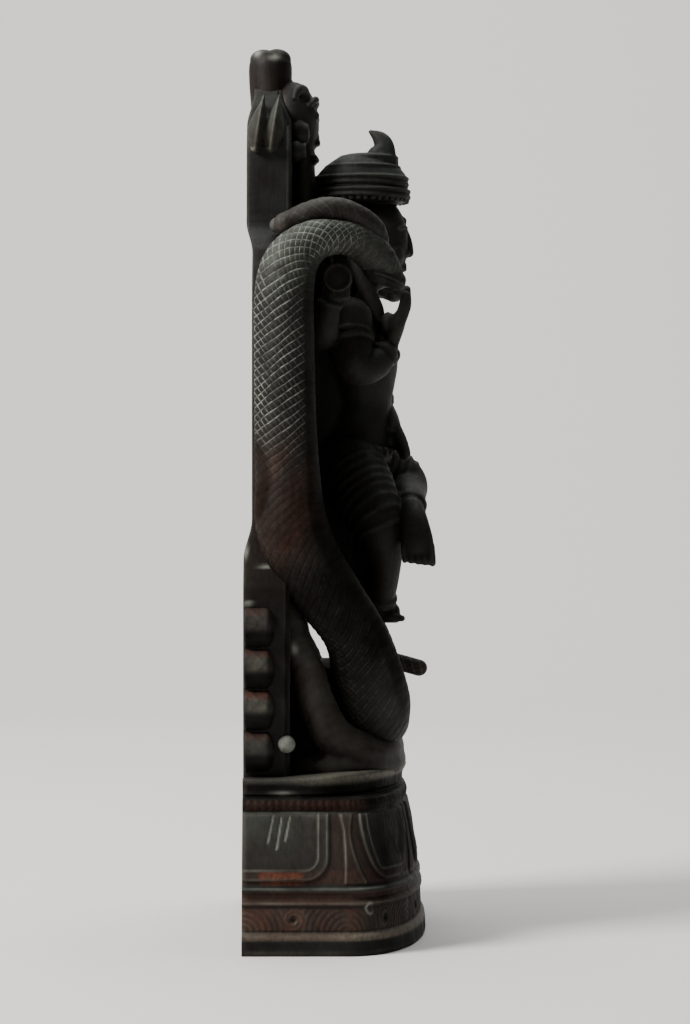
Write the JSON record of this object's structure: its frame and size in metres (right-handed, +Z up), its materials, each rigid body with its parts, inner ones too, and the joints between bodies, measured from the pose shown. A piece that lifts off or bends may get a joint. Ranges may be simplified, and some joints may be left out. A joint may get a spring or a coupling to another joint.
{
  "type": "carved wooden shiva figure with serpents",
  "caption": "A dancing shiva in dark carved wood stands on a serpent's coil before a flame-edged back board, in one piece with its lotus plinth.",
  "frame": {"origin": "on the underside of the plinth, in the middle of the whole carving from side to side and from front to back", "axes": "+Z up, the figure faces -Y, its proper right side is -X, the flat back is at +Y"},
  "size_m": [0.144, 0.0631, 0.299],
  "materials": {
    "carved_wood": "hand-carved hardwood, stained near black with a greenish grey bloom, red-brown in the recesses, edges rubbed pale"
  },
  "bodies": {
    "root": {"shiva_figure": "carved_wood"}
  },
  "joints": []
}
